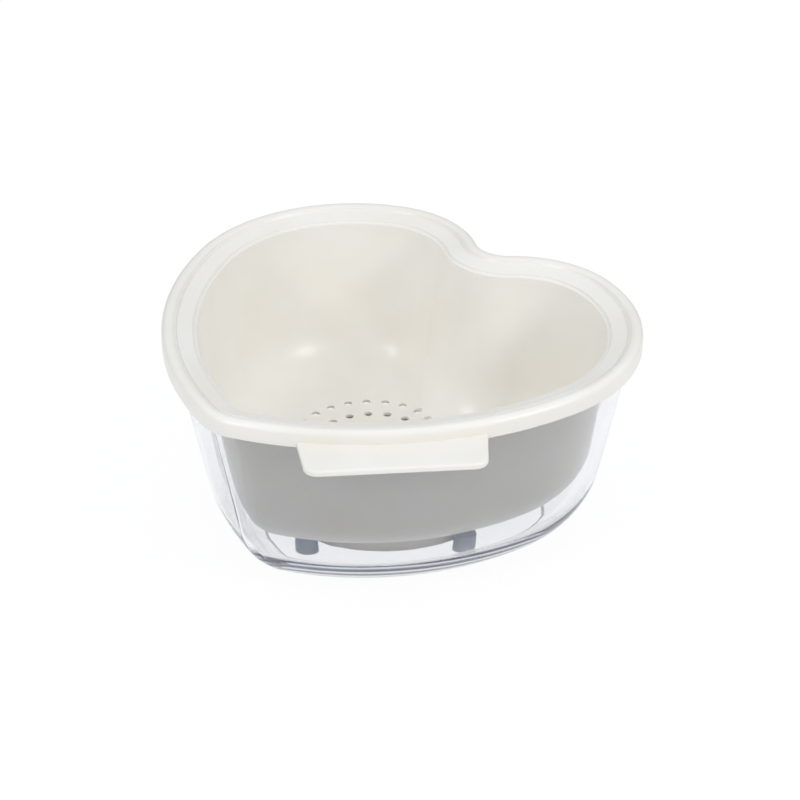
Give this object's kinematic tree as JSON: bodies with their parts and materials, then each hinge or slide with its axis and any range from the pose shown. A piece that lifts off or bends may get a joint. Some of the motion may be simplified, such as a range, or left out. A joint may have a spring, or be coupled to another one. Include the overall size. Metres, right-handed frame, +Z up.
{
  "type": "drain basket",
  "caption": "Heart-shaped drain basket: a white perforated basket with a lift tab hangs by its rim in a clear bowl that catches the water.",
  "frame": {"origin": "on the flat underside of the bowl, at the middle of the base, which is also the middle of the drain holes", "axes": "+Z up; the heart's tip points to -Y and its cleft to +Y; the lift tab is on the +X side of the tip"},
  "size_m": [0.2596, 0.2386, 0.119],
  "materials": {
    "clear_plastic": "polished clear, faintly blue",
    "white_plastic": "satin warm white"
  },
  "bodies": {
    "bowl": {"outer_bowl": "clear_plastic"},
    "basket": {"drain_basket": "white_plastic"}
  },
  "joints": [
    {"name": "basket_lift", "type": "slide", "parent": "bowl", "child": "basket", "axis": [0, 0, 1], "range_m": [0, 0.12]}
  ]
}
